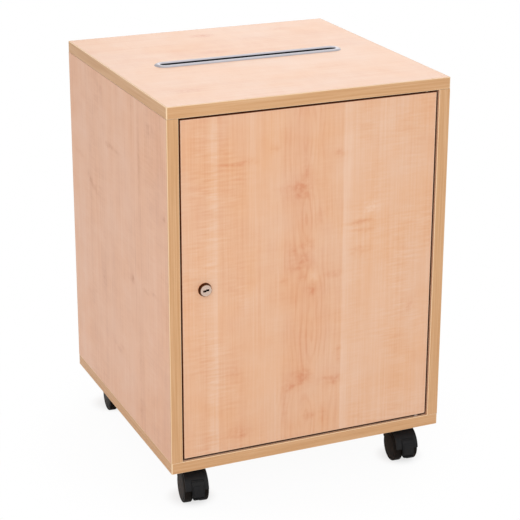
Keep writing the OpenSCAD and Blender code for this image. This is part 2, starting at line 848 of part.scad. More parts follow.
wheel(3, 1);  // wheel_back_right_b
brake_pedal(0);  // brake_pedal_left
brake_pedal(1);  // brake_pedal_right
castor_screws();
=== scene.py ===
import json
import math
import bmesh
import bpy
import numpy as np
from mathutils import Matrix, Vector


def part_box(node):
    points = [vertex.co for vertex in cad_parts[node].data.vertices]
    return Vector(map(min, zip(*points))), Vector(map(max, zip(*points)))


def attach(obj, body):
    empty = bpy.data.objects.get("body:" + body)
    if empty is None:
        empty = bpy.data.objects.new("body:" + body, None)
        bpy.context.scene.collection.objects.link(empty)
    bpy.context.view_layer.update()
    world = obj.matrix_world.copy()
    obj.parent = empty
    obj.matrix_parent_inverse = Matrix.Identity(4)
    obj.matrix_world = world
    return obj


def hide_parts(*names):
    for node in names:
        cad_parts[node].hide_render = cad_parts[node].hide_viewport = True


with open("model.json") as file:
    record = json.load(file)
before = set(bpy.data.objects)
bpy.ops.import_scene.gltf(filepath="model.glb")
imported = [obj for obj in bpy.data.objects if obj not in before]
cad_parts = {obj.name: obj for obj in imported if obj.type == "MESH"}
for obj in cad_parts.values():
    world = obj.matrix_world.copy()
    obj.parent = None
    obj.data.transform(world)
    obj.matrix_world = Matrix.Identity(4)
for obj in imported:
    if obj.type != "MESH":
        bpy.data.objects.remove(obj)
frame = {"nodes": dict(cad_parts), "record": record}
nodes = frame["nodes"]
bodyOf = {name: body for body, names in frame["record"]["behaviour"]["bodies"].items() for name in names}
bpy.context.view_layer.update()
scene = bpy.context.scene
print("frame loaded:", len(nodes), "nodes")


def linear(hexColour):  # sRGB hex to linear RGBA
    srgb = np.array([int(hexColour[i:i + 2], 16) for i in (1, 3, 5)]) / 255
    rgb = np.where(srgb <= 0.04045, srgb / 12.92, ((srgb + 0.055) / 1.055) ** 2.4)
    return (*rgb.tolist(), 1.0)


def addNode(tree, kind, settings=None, inputs=None):
    # adds one node; an input is a value, a hex colour or another node's socket
    made = tree.nodes.new(kind)
    for name, value in (settings or {}).items():
        if name == "stops":
            elements = made.color_ramp.elements
            elements.remove(elements[1])
            for k, (place, colour) in enumerate(value):
                element = elements.new(place) if k else elements[0]
                element.position = place
                element.color = linear(colour) if isinstance(colour, str) else (*colour, 1.0)
        else:
            setattr(made, name, value)
    for name, value in (inputs or {}).items():
        if isinstance(value, bpy.types.NodeSocket):
            tree.links.new(value, made.inputs[name])
        elif isinstance(value, str):
            made.inputs[name].default_value = linear(value)
        else:
            made.inputs[name].default_value = value
    return made


def startMaterial(name, **surface):  # a principled material; surface gives its plain socket values
    material = bpy.data.materials.new(name)
    material.use_nodes = True
    tree = material.node_tree
    tree.nodes.clear()
    shader = addNode(tree, "ShaderNodeBsdfPrincipled", inputs={k.replace("_", " "): v for k, v in surface.items()})
    addNode(tree, "ShaderNodeOutputMaterial", inputs={"Surface": shader.outputs["BSDF"]})
    return material, tree, shader


def paint(material, *names):  # gives the CAD pieces of these names one material
    for name in names:
        slots = nodes[name].data.materials
        slots.clear()
        slots.append(material)


# Camera, worked out from the cabinet's corners in the photograph
shot = {
    "azimuth": -23.567, "elevation": 19.11, "roll": 0.175,                 # degrees
    "distance": 2.79193, "across": 0.014, "up": 0.272025, "lift": 0.064,   # metres
    "focalPixels": 1684.964, "frame": 520, "shiftPixels": -32,
    "sensor": 36,                                                          # millimetres
}
a, e, r = (math.radians(shot[k]) for k in ("azimuth", "elevation", "roll"))
back = Vector((math.sin(a) * math.cos(e), -math.cos(a) * math.cos(e), math.sin(e)))
right = Vector((math.cos(a), math.sin(a), 0))
up = back.cross(right)
camera = bpy.data.objects.new("camera", bpy.data.cameras.new("camera"))
camera.data.sensor_width = shot["sensor"]
camera.data.lens = shot["sensor"] * shot["focalPixels"] / shot["frame"]
camera.data.shift_y = shot["shiftPixels"] / shot["frame"]
place = right * shot["across"] + up * shot["up"] + back * shot["distance"] + Vector((0, 0, shot["lift"]))
turned = Matrix((right * math.cos(r) + up * math.sin(r), up * math.cos(r) - right * math.sin(r), back)).transposed()
camera.matrix_world = Matrix.Translation(place) @ turned.to_4x4()
scene.collection.objects.link(camera)
scene.camera = camera
print("camera placed")

# A white room, three soft boxes and a white floor
studio = {
    "ambient": 0.71,                  # diffuse light from all round
    "boxes": {                        # width, depth, watts, where the box stands and what it points at
        "frontBox": (1.8, 1.8, 32.0, (-1.33, -2.45, 1.71), (0, 0, 0.35)),   # beside the camera
        "topBox": (2.0, 2.0, 9.0, (0.4, 0.5, 2.5), (0, 0, 0.6)),            # over the back of the cabinet
        "rearBox": (2.6, 1.6, 15.0, (1.75, 2.60, 1.85), (0, 0, 0.63)),      # behind it, for the sheen on its top
    },
    "floor": "#f4f4f4", "floorHalf": 8.0,
    "shadow": 0.05,                   # how much of the floor's shadow the camera sees close to the cabinet
    "fade": (0.26, 0.42),             # metres from the cabinet's middle over which that share goes to nothing
    "contact": 0.32,                  # the same share close to a castor
    "castorAt": (0.18, 0.185, 0),     # metres to a castor from the middle, sideways and to the front or back
    "contactFade": (0.015, 0.045),    # metres from the castor over which its share goes down to the other one
}
scene.view_settings.view_transform = "Standard"
world = bpy.data.worlds.new("studio")
scene.world = world
world.use_nodes = True
tree = world.node_tree
tree.nodes.clear()
path = addNode(tree, "ShaderNodeLightPath")
seen = path.outputs["Is Camera Ray"]
for ray in ("Is Glossy Ray", "Is Transmission Ray"):
    seen = addNode(tree, "ShaderNodeMath", {"operation": "MAXIMUM"}, {0: seen, 1: path.outputs[ray]}).outputs[0]
strength = addNode(tree, "ShaderNodeMapRange", inputs={"Value": seen, "To Min": studio["ambient"], "To Max": 1.0})
sky = addNode(tree, "ShaderNodeBackground", inputs={"Color": "#ffffff", "Strength": strength.outputs[0]})
addNode(tree, "ShaderNodeOutputWorld", inputs={"Surface": sky.outputs[0]})

for name, (width, depth, watts, place, target) in studio["boxes"].items():
    lamp = bpy.data.lights.new(name, "AREA")
    lamp.shape, lamp.size, lamp.size_y, lamp.energy = "RECTANGLE", width, depth, watts
    box = bpy.data.objects.new(name, lamp)
    direction = Vector(target) - Vector(place)
    box.matrix_world = Matrix.Translation(place) @ direction.to_track_quat("-Z", "Y").to_matrix().to_4x4()
    scene.collection.objects.link(box)

# Floor: white paper that keeps a faint shadow under the cabinet and is plain white further out
half = studio["floorHalf"]
floorMesh = bpy.data.meshes.new("floor")
floorMesh.from_pydata([(-half, -half, 0), (half, -half, 0), (half, half, 0), (-half, half, 0)], [], [(0, 1, 2, 3)])
floor = bpy.data.objects.new("floor", floorMesh)
scene.collection.objects.link(floor)
material, tree, shader = startMaterial("paper sweep", Roughness=0.9, Specular_IOR_Level=0.0)
shader.inputs["Base Color"].default_value = linear(studio["floor"])
path = addNode(tree, "ShaderNodeLightPath")
coords = addNode(tree, "ShaderNodeTexCoord")
distance = addNode(tree, "ShaderNodeVectorMath", {"operation": "LENGTH"}, {0: coords.outputs["Object"]})
far = addNode(tree, "ShaderNodeMapRange", {"interpolation_type": "SMOOTHSTEP"}, {
    "Value": distance.outputs["Value"], "From Min": studio["fade"][0], "From Max": studio["fade"][1],
    "To Min": 1 - studio["shadow"]})
corner = addNode(tree, "ShaderNodeVectorMath", {"operation": "ABSOLUTE"}, {0: coords.outputs["Object"]})
corner = addNode(tree, "ShaderNodeVectorMath", {"operation": "DISTANCE"}, {
    0: corner.outputs[0], 1: studio["castorAt"]})
near = addNode(tree, "ShaderNodeMapRange", {"interpolation_type": "SMOOTHSTEP"}, {
    "Value": corner.outputs["Value"], "From Min": studio["contactFade"][0], "From Max": studio["contactFade"][1],
    "To Min": (1 - studio["contact"]) / (1 - studio["shadow"]), "To Max": 1.0})
whiter = far.outputs[0]
for share in (near.outputs[0], path.outputs["Is Camera Ray"]):
    whiter = addNode(tree, "ShaderNodeMath", {"operation": "MULTIPLY"}, {0: whiter, 1: share}).outputs[0]
white = addNode(tree, "ShaderNodeEmission", inputs={"Color": "#ffffff", "Strength": 1.0})
mixed = addNode(tree, "ShaderNodeMixShader", inputs={0: whiter, 1: shader.outputs[0], 2: white.outputs[0]})
output = next(n for n in tree.nodes if n.type == "OUTPUT_MATERIAL")
tree.links.new(mixed.outputs[0], output.inputs["Surface"])
floorMesh.materials.append(material)
print("studio lit")


# Joints between boards: painted shade, brown wherever another surface stands close
jointShade = {"colour": "#46200a", "reach": 0.006, "open": (0.17, 0.45)}   # reach in metres; open sky from dark to clear


# painted shade for the gaps between parts: the colour goes brown as the open sky round it closes
def paintedCreviceShade(tree, colour, darkest):  # colour going to the joint's; darkest is what stays of it deep down
    sky = addNode(tree, "ShaderNodeAmbientOcclusion", {"samples": 12}, {"Distance": jointShade["reach"]})
    sky = addNode(tree, "ShaderNodeMapRange", {"interpolation_type": "SMOOTHSTEP"}, {
        "Value": sky.outputs["AO"], "From Min": jointShade["open"][0], "From Max": jointShade["open"][1],
        "To Min": darkest, "To Max": 1.0})
    return addNode(tree, "ShaderNodeMix", {"data_type": "RGBA"}, {
        0: sky.outputs[0], 6: jointShade["colour"], 7: colour}).outputs[2]


# Melamine-faced chipboard: a maple print under a satin resin film, so the figure is soft and the sheen even.
# A layer of noise is given as mm across the grain, mm along it, detail, its own place in the noise and strength
maple = {
    "dark": "#d18f69", "grey": "#c8916f", "plain": "#deaf8c", "pale": "#e6c3aa",
    "pores": (1.5, 60, 3.0, 0.0, 0.28),        # a real pore is finer: this is the finest that shows
    "lines": (2.9, 240, 1.0, 31.0, 0.33),
    "bands": (17, 420, 2.0, 7.0, 0.22),
    "cloud": (48, 34, 3.0, 19.0, 0.30),
    "drift": (150, 210, 1.0, 67.0, 0.12),
    "ripple": (34, 4.2, 2.0, 3.0, 0.66),       # the cross ripple of curly maple
    "patches": (60, 110, 1.0, 11.0),           # where the ripple shows
    "tone": (80, 120, 2.0, 53.0, 0.30),        # drift between yellowish and pinkish
    "bendAcross": (14, 11, 2.0, 23.0, 0.010),  # metres by which a stain's outline bends
    "bendAlong": (12, 16, 2.0, 24.0, 0.007),
    "ragged": (9, 7, 2.0, 61.0),               # breaks the stains up
    "ringWave": (40, 130, 1.0, 41.0, 1.8),     # bends the growth rings, in ellipses
    "ringGrit": (9, 34, 1.0, 43.0, 0.35),
    "ringShown": (30, 70, 1.0, 47.0),          # where the rings show
    "rings": 0.18, "ringTurns": 10.0,          # their strength, and radians for each ellipse: one ring every 0.63
    "roughness": 0.38, "film": 0.05,           # the resin film, and how much the pores change it
}


def mapleFace(name, across, along, half, staves, flames, hearts=(), depth=1.0, tint=(1.0, 1.0, 1.0), hue=1.0,
              dark=maple["dark"]):
    # across and along are the board's axes and half is half its width. staves give the share of the width,
    # lightness and strength of the cross ripple. flames are stained patches: across, along, half width, half
    # length in mm, and strength. hearts are the eyes of the cathedral figure: across, along, half width and half
    # length in mm. depth scales the contrast, tint multiplies the colour, hue scales the drift of tone and dark
    # is the colour of the stains.
    material, tree, shader = startMaterial(name, IOR=1.5)
    coords = addNode(tree, "ShaderNodeTexCoord")
    xyz = addNode(tree, "ShaderNodeSeparateXYZ", inputs={0: coords.outputs["Object"]})
    u, v = xyz.outputs[across], xyz.outputs[along]
    share = addNode(tree, "ShaderNodeMapRange", inputs={"Value": u, "From Min": -half, "From Max": half})
    stave = addNode(tree, "ShaderNodeValToRGB", {"stops": [(at, (light, 0, curl)) for at, light, curl in staves]},
                    {"Fac": share.outputs[0]})
    parts = addNode(tree, "ShaderNodeSeparateColor", inputs={0: stave.outputs["Color"]})

    def pattern(wide, long, detail, shift):  # noise from -0.5 to 0.5 with features so many mm wide and long
        su = addNode(tree, "ShaderNodeMath", {"operation": "MULTIPLY_ADD"}, {0: u, 1: 1000 / wide, 2: shift})
        sv = addNode(tree, "ShaderNodeMath", {"operation": "MULTIPLY"}, {0: v, 1: 1000 / long})
        at = addNode(tree, "ShaderNodeCombineXYZ", inputs={0: su.outputs[0], 1: sv.outputs[0], 2: shift})
        noise = addNode(tree, "ShaderNodeTexNoise", {"noise_dimensions": "3D"}, {
            "Vector": at.outputs[0], "Scale": 1.0, "Detail": detail, "Roughness": 0.55})
        noise = addNode(tree, "ShaderNodeMath", {"operation": "SUBTRACT"}, {0: noise.outputs["Fac"], 1: 0.5})
        return noise.outputs[0]

    total, layers = parts.outputs[0], {}
    for layer in ("pores", "lines", "bands", "cloud", "drift"):
        *sizes, strength = maple[layer]
        layers[layer] = pattern(*sizes)
        total = addNode(tree, "ShaderNodeMath", {"operation": "MULTIPLY_ADD"}, {
            0: layers[layer], 1: strength * depth, 2: total}).outputs[0]

    patch = addNode(tree, "ShaderNodeMapRange", inputs={
        "Value": pattern(*maple["patches"]), "From Min": -0.20, "From Max": 0.12})
    patch = addNode(tree, "ShaderNodeMath", {"operation": "MULTIPLY"}, {0: patch.outputs[0], 1: parts.outputs[2]})
    *sizes, strength = maple["ripple"]
    curl = addNode(tree, "ShaderNodeMath", {"operation": "MULTIPLY"}, {0: pattern(*sizes), 1: patch.outputs[0]})
    total = addNode(tree, "ShaderNodeMath", {"operation": "MULTIPLY_ADD"}, {
        0: curl.outputs[0], 1: strength * depth, 2: total}).outputs[0]

    bent = []
    for layer, axis in (("bendAcross", u), ("bendAlong", v)):
        *sizes, metres = maple[layer]
        bent.append(addNode(tree, "ShaderNodeMath", {"operation": "MULTIPLY_ADD"}, {
            0: pattern(*sizes), 1: metres, 2: axis}).outputs[0])
    bent = addNode(tree, "ShaderNodeCombineXYZ", inputs={0: bent[0], 1: bent[1]}).outputs[0]
    ragged = addNode(tree, "ShaderNodeMapRange", inputs={
        "Value": pattern(*maple["ragged"]), "From Min": -0.16, "From Max": 0.16, "To Min": 0.35, "To Max": 1.35})
    stains = 0.0
    for fu, fv, halfWide, halfLong, strength in flames:  # each falls off smoothly from its middle, on the bent axes
        to = addNode(tree, "ShaderNodeVectorMath", {"operation": "MULTIPLY_ADD"}, {
            0: bent, 1: (1000 / halfWide, 1000 / halfLong, 0), 2: (-fu / halfWide, -fv / halfLong, 0)})
        away = addNode(tree, "ShaderNodeVectorMath", {"operation": "LENGTH"}, {0: to.outputs[0]})
        stain = addNode(tree, "ShaderNodeMapRange", {"interpolation_type": "SMOOTHSTEP"}, {
            "Value": away.outputs["Value"], "From Min": 0.0, "From Max": 1.5, "To Min": 1.0, "To Max": 0.0})
        stains = addNode(tree, "ShaderNodeMath", {"operation": "MULTIPLY_ADD"}, {
            0: stain.outputs[0], 1: -strength * depth, 2: stains}).outputs[0]
    stains = addNode(tree, "ShaderNodeMath", {"operation": "MULTIPLY"}, {0: stains, 1: ragged.outputs[0]})
    total = addNode(tree, "ShaderNodeMath", {"operation": "ADD"}, {0: total, 1: stains.outputs[0]}).outputs[0]

    nearest = None
    straight = addNode(tree, "ShaderNodeCombineXYZ", inputs={0: u, 1: v}).outputs[0]
    for hu, hv, halfWide, halfLong in hearts:  # distance from each heart in units of its ellipse, joined softly
        to = addNode(tree, "ShaderNodeVectorMath", {"operation": "MULTIPLY_ADD"}, {
            0: straight, 1: (1000 / halfWide, 1000 / halfLong, 0), 2: (-hu / halfWide, -hv / halfLong, 0)})
        reach = addNode(tree, "ShaderNodeVectorMath", {"operation": "LENGTH"}, {0: to.outputs[0]}).outputs["Value"]
        nearest = reach if nearest is None else addNode(
            tree, "ShaderNodeMath", {"operation": "SMOOTH_MIN"}, {0: nearest, 1: reach, 2: 0.5}).outputs[0]
    if hearts:
        rings = nearest
        for layer in ("ringWave", "ringGrit"):
            *sizes, ellipses = maple[layer]
            rings = addNode(tree, "ShaderNodeMath", {"operation": "MULTIPLY_ADD"}, {
                0: pattern(*sizes), 1: ellipses, 2: rings}).outputs[0]
        rings = addNode(tree, "ShaderNodeMath", {"operation": "MULTIPLY"}, {0: rings, 1: maple["ringTurns"]})
        rings = addNode(tree, "ShaderNodeMath", {"operation": "SINE"}, {0: rings.outputs[0]})
        rings = addNode(tree, "ShaderNodeMapRange", {"interpolation_type": "SMOOTHERSTEP"}, {
            "Value": rings.outputs[0], "From Min": -0.2, "From Max": 1.1})
        fade = addNode(tree, "ShaderNodeMapRange", inputs={
            "Value": nearest, "From Min": 1.5, "From Max": 5.5, "To Min": 1.0, "To Max": 0.0})
        shown = addNode(tree, "ShaderNodeMapRange", inputs={
            "Value": pattern(*maple["ringShown"]), "From Min": -0.16, "From Max": 0.16})
        for part in (fade, shown):
            rings = addNode(tree, "ShaderNodeMath", {"operation": "MULTIPLY"}, {
                0: rings.outputs[0], 1: part.outputs[0]})
        total = addNode(tree, "ShaderNodeMath", {"operation": "MULTIPLY_ADD"}, {
            0: rings.outputs[0], 1: -maple["rings"] * depth, 2: total}).outputs[0]

    colour = addNode(tree, "ShaderNodeValToRGB", {"stops": [
        (0.0, dark), (0.5, maple["plain"]), (1.0, maple["pale"])]}, {"Fac": total})
    *sizes, strength = maple["tone"]
    tone = addNode(tree, "ShaderNodeMath", {"operation": "MULTIPLY_ADD"}, {
        0: pattern(*sizes), 1: strength * hue, 2: 1.0})
    colour = addNode(tree, "ShaderNodeHueSaturation", inputs={
        "Color": colour.outputs["Color"], "Saturation": tone.outputs[0]})
    colour = addNode(tree, "ShaderNodeVectorMath", {"operation": "MULTIPLY"}, {0: colour.outputs["Color"], 1: tint})
    # painted shade in the gaps between boards, brown where another surface stands close
    tree.links.new(paintedCreviceShade(tree, colour.outputs[0], 0.0), shader.inputs["Base Color"])
    rough = addNode(tree, "ShaderNodeMapRange", inputs={
        "Value": layers["pores"], "From Min": -0.5, "From Max": 0.5,
        "To Min": maple["roughness"] - maple["film"], "To Max": maple["roughness"] + maple["film"]})
    tree.links.new(rough.outputs[0], shader.inputs["Roughness"])
    bump = addNode(tree, "ShaderNodeBump", inputs={"Height": layers["pores"], "Strength": 0.1, "Distance": 0.0002})
    tree.links.new(bump.outputs[0], shader.inputs["Normal"])
    return material


# What stands where on each board, placed after the photograph
figure = {
    "door": {
        "staves": [
            (0.0, 0.50, 0.6), (0.06, 0.46, 1.1), (0.095, 0.47, 1.4), (0.112, 0.60, 1.4), (0.1365, 0.74, 1.3),
            (0.1385, 0.46, 0.9), (0.23, 0.44, 0.9), (0.27, 0.51, 0.4), (0.385, 0.52, 0.2), (0.40, 0.44, 0.2),
            (0.47, 0.40, 0.2), (0.52, 0.48, 0.2), (0.628, 0.48, 0.3), (0.631, 0.74, 0.4), (0.655, 0.70, 0.4),
            (0.668, 0.58, 0.7), (0.76, 0.56, 0.8), (0.78, 0.63, 0.8), (0.82, 0.62, 0.9), (0.85, 0.55, 1.0),
            (1.0, 0.54, 1.0)],
        "flames": [
            (-17, 485, 34, 20, 0.14), (-12, 374, 30, 27, 0.12), (-16, 182, 32, 18, 0.14), (38, 172, 27, 12, 0.12),
            (4, 326, 18, 16, 0.1), (-17, 488, 10, 10, 0.26), (-19, 475, 8, 7, 0.22), (-28, 489, 26, 4, 0.12),
            (-9, 522, 4, 26, 0.12), (-3, 509, 12, 12, 0.1), (45, 533, 10, 8, 0.24), (-57, 551, 9, 7, 0.18),
            (-97, 537, 14, 6, 0.14), (-122, 534, 30, 4, 0.18), (-12, 371, 8, 15, 0.22), (-27, 362, 15, 4, 0.14),
            (-4, 398, 14, 9, 0.16), (-30, 392, 10, 9, 0.12), (15, 437, 10, 17, 0.12), (78, 421, 30, 4, 0.32),
            (84, 408, 22, 3, 0.2), (78, 376, 24, 9, 0.18), (100, 443, 15, 11, -0.36), (66, 409, 16, 14, -0.1),
            (-11, 347, 11, 7, 0.2), (4, 324, 7, 10, 0.22), (40, 345, 15, 7, 0.2), (6, 345, 10, 9, -0.24),
            (-42, 345, 7, 5, 0.14), (-10, 188, 15, 11, 0.2), (-16, 176, 9, 6, 0.2), (-30, 171, 11, 7, 0.2),
            (43, 171, 13, 8, 0.28), (28, 176, 12, 4, 0.14), (50, 223, 7, 5, 0.22), (49, 209, 5, 10, 0.16),
            (2, 118, 11, 7, 0.24), (25, 117, 7, 17, 0.16), (-40, 145, 7, 36, 0.12), (-122, 208, 9, 18, 0.16),
            (-117, 110, 20, 11, 0.22), (-108, 106, 8, 5, 0.14), (170, 275, 7, 17, 0.18)],
        "hearts": [(-7, 436, 11, 44), (4, 262, 12, 70), (-10, 560, 12, 60), (-4, 120, 12, 40)],
        "tint": (1.025, 1.01, 1.0),
    },
    "side": {
        "staves": [
            (0.0, 0.44, 0.3), (0.1, 0.42, 0.3), (0.12, 0.5, 0.5), (0.24, 0.5, 0.3), (0.26, 0.42, 0.2),
            (0.285, 0.5, 0.2), (0.45, 0.54, 0.3), (0.47, 0.5, 0.3), (0.62, 0.52, 0.2), (0.64, 0.46, 0.5),
            (0.8, 0.5, 0.5), (0.88, 0.56, 0.2), (1.0, 0.5, 0.2)],
        "flames": [
            (24, 507, 30, 5, 0.19), (40, 505, 8, 6, 0.13), (-8, 506, 14, 4, 0.11), (140, 433, 8, 7, 0.14),
            (126, 424, 10, 6, 0.21), (110, 417, 13, 6, 0.19), (92, 412, 10, 5, 0.1), (-69, 324, 9, 9, 0.27),
            (-60, 321, 16, 5, 0.11), (-50, 316, 14, 16, -0.08), (-130, 322, 18, 4, 0.19), (-160, 328, 20, 4, 0.18),
            (69, 277, 9, 22, 0.18), (3, 178, 12, 5, 0.18), (-14, 188, 14, 4, 0.11), (24, 184, 12, 4, 0.11),
            (-158, 583, 22, 6, 0.16), (-150, 572, 10, 6, 0.13), (-208, 463, 7, 8, 0.24), (92, 345, 30, 10, -0.1),
            (-20, 200, 30, 14, -0.11), (-96, 205, 9, 60, 0.11), (-103, 525, 5, 66, 0.14), (-96, 118, 7, 30, 0.13),
            (178, 455, 26, 5, 0.1), (-72, 598, 22, 9, 0.08), (70, 590, 14, 10, 0.08)],
        "depth": 1.4, "tint": (1.055, 1.005, 1.03), "hue": 0.7, "dark": maple["grey"],
    },
    "top": {
        "staves": [
            (0.0, 0.52, 0.3), (0.2, 0.5, 0.3), (0.22, 0.56, 0.2), (0.5, 0.54, 0.3), (0.55, 0.46, 0.3),
            (0.8, 0.48, 0.3), (0.84, 0.54, 0.2), (1.0, 0.52, 0.2)],
        "flames": [
            (175, -14, 14, 24, 0.34), (180, 125, 16, 20, 0.2), (60, -40, 12, 30, 0.14), (-150, -160, 12, 26, 0.2),
            (-90, 90, 14, 30, 0.12)],
        # the top's tint is bluer: a painted sheen, for the white reflection of the lamps on it
        "depth": 1.2, "tint": (1.0, 1.008, 1.045), "hue": 1.4,
    },
    "backHearts": [(30, 350, 14, 80)],
    "halfBody": 0.225, "halfBack": 0.207, "edging": 0.002,   # metres: half widths, and the edging's thickness
}
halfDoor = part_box("door_panel")[1].x + figure["edging"]
paint(mapleFace("maple melamine, door", 0, 2, halfDoor, **figure["door"]), "door_panel")
paint(mapleFace("maple melamine, sides", 1, 2, figure["halfBody"], **figure["side"]),
      "side_panel_left", "side_panel_right")
paint(mapleFace("maple melamine, top", 1, 0, figure["halfBody"], **figure["top"]), "top_panel", "base_panel")
paint(mapleFace("maple melamine, back", 0, 2, figure["halfBack"], figure["side"]["staves"], figure["side"]["flames"],
                figure["backHearts"]), "back_panel")


# ABS edging: extruded strip printed with a fine straight grain along it, with a flat satin sheen. On the body it
# is honey coloured and its arrises are paler, scraped and with a painted highlight; on the door it matches the
# board, and while the door is shut its arrises and its left and top take a painted shade
strip = {
    # arris: paler, for the scraped edge and a painted highlight along it
    "dark": "#c08e60", "plain": "#cfa175", "light": "#dbb28a", "arris": "#eecfaa",
    "roughness": 0.36, "gloss": 0.2, "gap": 0.05,    # gap: what stays of the colour deep in a joint
    "streaks": (430.0, 7.0),                         # for each metre across and along: 2.3 mm apart, 140 mm long
}
doorStrip = {
    # on the door the arris colour is a painted shade, dark brown, and shade gives a painted shadow of the frame
    **strip, "dark": "#dcb192", "plain": "#e7c0a2", "light": "#eeccb3", "arris": "#5f2c0a", "gap": 0.0,
    "shade": 0.0014,                                 # metres of its front, top and left, in the frame's shadow
    "soft": 0.0002, "frameNear": 0.010,              # metres: the shadow's soft edge, and how near the frame stands
}


def edging(name, longAxis, crossAxis, finish):
    # the grain runs along longAxis, but along crossAxis on the faces that look along longAxis
    material, tree, shader = startMaterial(
        name, IOR=1.5, Specular_IOR_Level=finish["gloss"], Roughness=finish["roughness"])
    coords = addNode(tree, "ShaderNodeTexCoord")
    facing = addNode(tree, "ShaderNodeVectorMath", {"operation": "ABSOLUTE"}, {0: coords.outputs["Normal"]})
    facing = addNode(tree, "ShaderNodeSeparateXYZ", inputs={0: facing.outputs[0]})
    turned = addNode(tree, "ShaderNodeMath", {"operation": "GREATER_THAN"}, {0: facing.outputs[longAxis], 1: 0.6})
    grains = []
    for fine in (longAxis, crossAxis):
        stretch = [finish["streaks"][0]] * 3
        stretch[fine] = finish["streaks"][1]
        at = addNode(tree, "ShaderNodeMapping", inputs={"Vector": coords.outputs["Object"], "Scale": stretch})
        grains.append(addNode(tree, "ShaderNodeTexNoise", inputs={
            "Vector": at.outputs[0], "Scale": 1.0, "Detail": 3.0, "Roughness": 0.6}).outputs["Fac"])
    grain = addNode(tree, "ShaderNodeMix", {"data_type": "FLOAT"}, {
        0: turned.outputs[0], 2: grains[0], 3: grains[1]}).outputs[0]
    colour = addNode(tree, "ShaderNodeValToRGB", {"stops": [
        (0.2, finish["dark"]), (0.5, finish["plain"]), (0.8, finish["light"])]}, {"Fac": grain})

    # an arris is where the normal leaves all three axes: painted highlight on the body, painted shade on the door
    level = facing.outputs[0]
    for axis in (1, 2):
        level = addNode(tree, "ShaderNodeMath", {"operation": "MAXIMUM"}, {
            0: level, 1: facing.outputs[axis]}).outputs[0]
    mask = addNode(tree, "ShaderNodeMapRange", inputs={
        "Value": level, "From Min": 0.995, "From Max": 0.95}).outputs[0]
    # painted shadow of the frame on the door edging: its left and top, and the outer 1.4 mm of its front there
    if "shade" in finish:
        low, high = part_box("door_edging")
        place = addNode(tree, "ShaderNodeSeparateXYZ", inputs={0: coords.outputs["Object"]})
        for axis, edge, inward in ((0, low.x, 1), (2, high.z, -1)):
            start, soft = edge + inward * finish["shade"], inward * finish["soft"]
            band = addNode(tree, "ShaderNodeMapRange", inputs={
                "Value": place.outputs[axis], "From Min": start + soft, "From Max": start - soft})
            mask = addNode(tree, "ShaderNodeMath", {"operation": "MAXIMUM"}, {
                0: mask, 1: band.outputs[0]}).outputs[0]
        # the painted shade shows only while the door stands in its frame: an open door shows its own colour
        shut = addNode(tree, "ShaderNodeAmbientOcclusion", {"samples": 64}, {"Distance": finish["frameNear"]})
        shut = addNode(tree, "ShaderNodeMapRange", inputs={
            "Value": shut.outputs["AO"], "From Min": 0.99, "From Max": 0.96})
        mask = addNode(tree, "ShaderNodeMath", {"operation": "MULTIPLY"}, {0: mask, 1: shut.outputs[0]}).outputs[0]
    colour = addNode(tree, "ShaderNodeMix", {"data_type": "RGBA"}, {
        0: mask, 6: colour.outputs["Color"], 7: finish["arris"]})
    # painted shade in the gaps between parts, keeping the gap share of the colour deep down
    tree.links.new(paintedCreviceShade(tree, colour.outputs[2], finish["gap"]), shader.inputs["Base Color"])
    bump = addNode(tree, "ShaderNodeBump", inputs={"Height": grain, "Strength": 0.1, "Distance": 0.0002})
    tree.links.new(bump.outputs[0], shader.inputs["Normal"])
    return material


paint(edging("honey ABS edging, level", 0, 1, strip), "top_edging", "base_edging")
paint(edging("honey ABS edging, upright", 2, 0, strip), "side_edging_left", "side_edging_right")
paint(edging("maple ABS edging, door", 0, 2, doorStrip), "door_edging")
print("boards finished")


